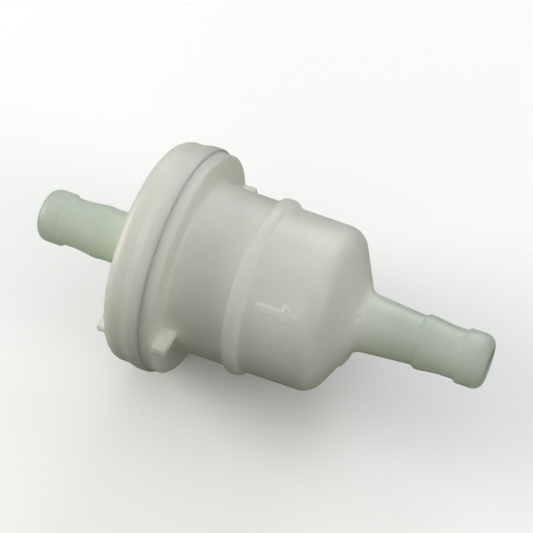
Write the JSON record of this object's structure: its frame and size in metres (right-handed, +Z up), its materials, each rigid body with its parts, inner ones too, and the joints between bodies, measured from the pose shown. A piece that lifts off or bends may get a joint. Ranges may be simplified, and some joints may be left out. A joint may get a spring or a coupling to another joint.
{
  "type": "in-line fuel filter",
  "caption": "In-line fuel filter with a milky nylon housing, a round flanged body, a domed end and a barbed hose nozzle at each end.",
  "frame": {"origin": "on the flow axis, at the middle of the overall length between the two nozzle tips", "axes": "+X along the flow axis from the inlet nozzle to the outlet nozzle, +Z up, with the flange ribs on the +Y and -Y sides"},
  "size_m": [0.0812, 0.04, 0.04],
  "materials": {
    "nylon_natural": "milky, slightly translucent moulded nylon, satin",
    "filter_paper": "resin-treated filter paper",
    "core_plastic": "natural moulded plastic",
    "cap_plastic": "natural moulded plastic",
    "potting_adhesive": "cured adhesive, slightly uneven",
    "seam_clip_steel": "thin rolled steel",
    "seal_rubber": "fuel-resistant rubber"
  },
  "bodies": {
    "root": {"inlet_cover": "nylon_natural", "body_shell": "nylon_natural", "pleated_paper": "filter_paper", "paper_seam_clip": "seam_clip_steel", "core_tube": "core_plastic", "inlet_end_cap": "cap_plastic", "outlet_end_cap": "cap_plastic", "inlet_potting": "potting_adhesive", "outlet_potting": "potting_adhesive", "spigot_seal_ring": "seal_rubber"}
  },
  "joints": []
}
